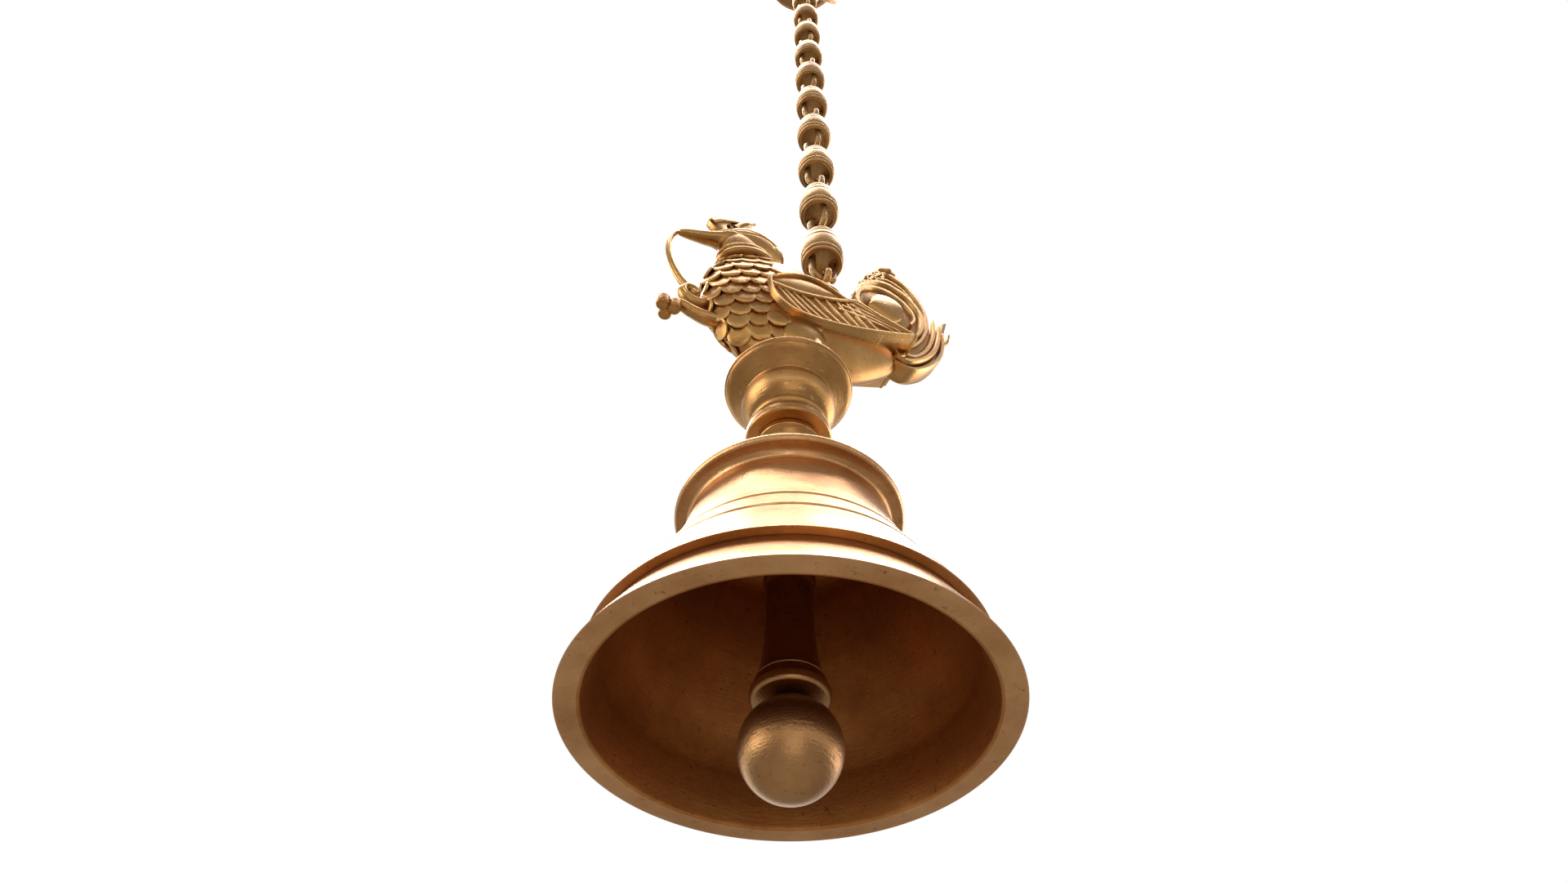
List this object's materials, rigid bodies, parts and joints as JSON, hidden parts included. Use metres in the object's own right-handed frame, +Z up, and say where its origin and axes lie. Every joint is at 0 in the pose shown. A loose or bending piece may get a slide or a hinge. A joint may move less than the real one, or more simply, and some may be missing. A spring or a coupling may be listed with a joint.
{
  "type": "temple bell",
  "caption": "Hanging brass temple bell with a clapper, carried by a cast bird on a beaded link chain and a ceiling hook.",
  "frame": {"origin": "centre of the ceiling plate's flat top face, on the chain's axis", "axes": "+Z up against the ceiling; the bird looks along -X, its tail points along +X and its left wing is on the -Y side"},
  "size_m": [0.1818, 0.15, 1.1022],
  "materials": {
    "bell_brass": "satin cast and turned brass with worn bright edges",
    "bird_brass": "satin cast brass, darker in its recesses",
    "chain_brass": "dull cast brass with fine grooves",
    "clapper_brass": "turned brass, lighter than the bell",
    "fitting_brass": "aged brass"
  },
  "bodies": {
    "ceiling_mount": {"ceiling_plate": "fitting_brass", "top_hook": "fitting_brass"},
    "chain_link_10": {"link_10": "chain_brass", "bead_10": "chain_brass"},
    "chain_link_09": {"link_09": "chain_brass", "bead_09": "chain_brass"},
    "chain_link_08": {"link_08": "chain_brass", "bead_08": "chain_brass"},
    "chain_link_07": {"link_07": "chain_brass", "bead_07": "chain_brass"},
    "chain_link_06": {"link_06": "chain_brass", "bead_06": "chain_brass"},
    "chain_link_05": {"link_05": "chain_brass", "bead_05": "chain_brass"},
    "chain_link_04": {"link_04": "chain_brass", "bead_04": "chain_brass"},
    "chain_link_03": {"link_03": "chain_brass", "bead_03": "chain_brass"},
    "chain_link_02": {"link_02": "chain_brass", "bead_02": "chain_brass"},
    "chain_link_01": {"link_01": "chain_brass", "bead_01": "chain_brass"},
    "bird_and_bell": {"back_eye": "bird_brass", "bird_body": "bird_brass", "neck_ring": "bird_brass", "bird_head": "bird_brass", "head_crest": "bird_brass", "beak_vine": "bird_brass", "chest_scroll": "bird_brass", "chest_trefoil": "bird_brass", "wing_left": "bird_brass", "wing_right": "bird_brass", "wing_feathers_left": "bird_brass", "wing_feathers_right": "bird_brass", "tail_root": "bird_brass", "tail_scroll": "bird_brass", "tail_crest": "bird_brass", "tail_knob": "bird_brass", "tail_feathers": "bird_brass", "leg_left": "bird_brass", "leg_right": "bird_brass", "perch_block": "bird_brass", "perch_plate": "bell_brass", "cup": "bell_brass", "thin_ring": "bell_brass", "neck_disc": "bell_brass", "neck_spool": "bell_brass", "bell": "bell_brass", "eye_bolt": "fitting_brass", "bolt_nut": "fitting_brass"},
    "clapper_hanger": {"clapper_ring": "clapper_brass"},
    "clapper": {"clapper_rod": "clapper_brass", "clapper_collar": "clapper_brass", "clapper_ball": "clapper_brass"}
  },
  "joints": [
    {"name": "link_10_swing", "type": "hinge", "parent": "ceiling_mount", "child": "chain_link_10", "pos_m": [0, 0, -0.11069], "axis": [1, 0, 0], "range_deg": [-25, 25]},
    {"name": "link_09_swing", "type": "hinge", "parent": "chain_link_10", "child": "chain_link_09", "pos_m": [0, 0, -0.1755], "axis": [0, 1, 0], "range_deg": [-25, 25]},
    {"name": "link_08_swing", "type": "hinge", "parent": "chain_link_09", "child": "chain_link_08", "pos_m": [0, 0, -0.24158], "axis": [1, 0, 0], "range_deg": [-25, 25]},
    {"name": "link_07_swing", "type": "hinge", "parent": "chain_link_08", "child": "chain_link_07", "pos_m": [0, 0, -0.30284], "axis": [1, 0, 0], "range_deg": [-25, 25]},
    {"name": "link_06_swing", "type": "hinge", "parent": "chain_link_07", "child": "chain_link_06", "pos_m": [0, 0, -0.37372], "axis": [1, 0, 0], "range_deg": [-25, 25]},
    {"name": "link_05_swing", "type": "hinge", "parent": "chain_link_06", "child": "chain_link_05", "pos_m": [0, 0, -0.43499], "axis": [1, 0, 0], "range_deg": [-25, 25]},
    {"name": "link_04_swing", "type": "hinge", "parent": "chain_link_05", "child": "chain_link_04", "pos_m": [0, 0, -0.50586], "axis": [1, 0, 0], "range_deg": [-25, 25]},
    {"name": "link_03_swing", "type": "hinge", "parent": "chain_link_04", "child": "chain_link_03", "pos_m": [0, 0, -0.57193], "axis": [0, 1, 0], "range_deg": [-25, 25]},
    {"name": "link_02_swing", "type": "hinge", "parent": "chain_link_03", "child": "chain_link_02", "pos_m": [0, 0, -0.63799], "axis": [1, 0, 0], "range_deg": [-25, 25]},
    {"name": "link_01_swing", "type": "hinge", "parent": "chain_link_02", "child": "chain_link_01", "pos_m": [0, 0, -0.70407], "axis": [0, 1, 0], "range_deg": [-25, 25]},
    {"name": "bird_swing", "type": "hinge", "parent": "chain_link_01", "child": "bird_and_bell", "pos_m": [0, 0, -0.77014], "axis": [1, 0, 0], "range_deg": [-25, 25]},
    {"name": "hanger_swing", "type": "hinge", "parent": "bird_and_bell", "child": "clapper_hanger", "pos_m": [-0.0231, 0, -0.9815], "axis": [1, 0, 0], "range_deg": [-8, 8]},
    {"name": "clapper_swing", "type": "hinge", "parent": "clapper_hanger", "child": "clapper", "pos_m": [-0.0231, 0, -0.9908], "axis": [0, 1, 0], "range_deg": [-28, 28]}
  ]
}
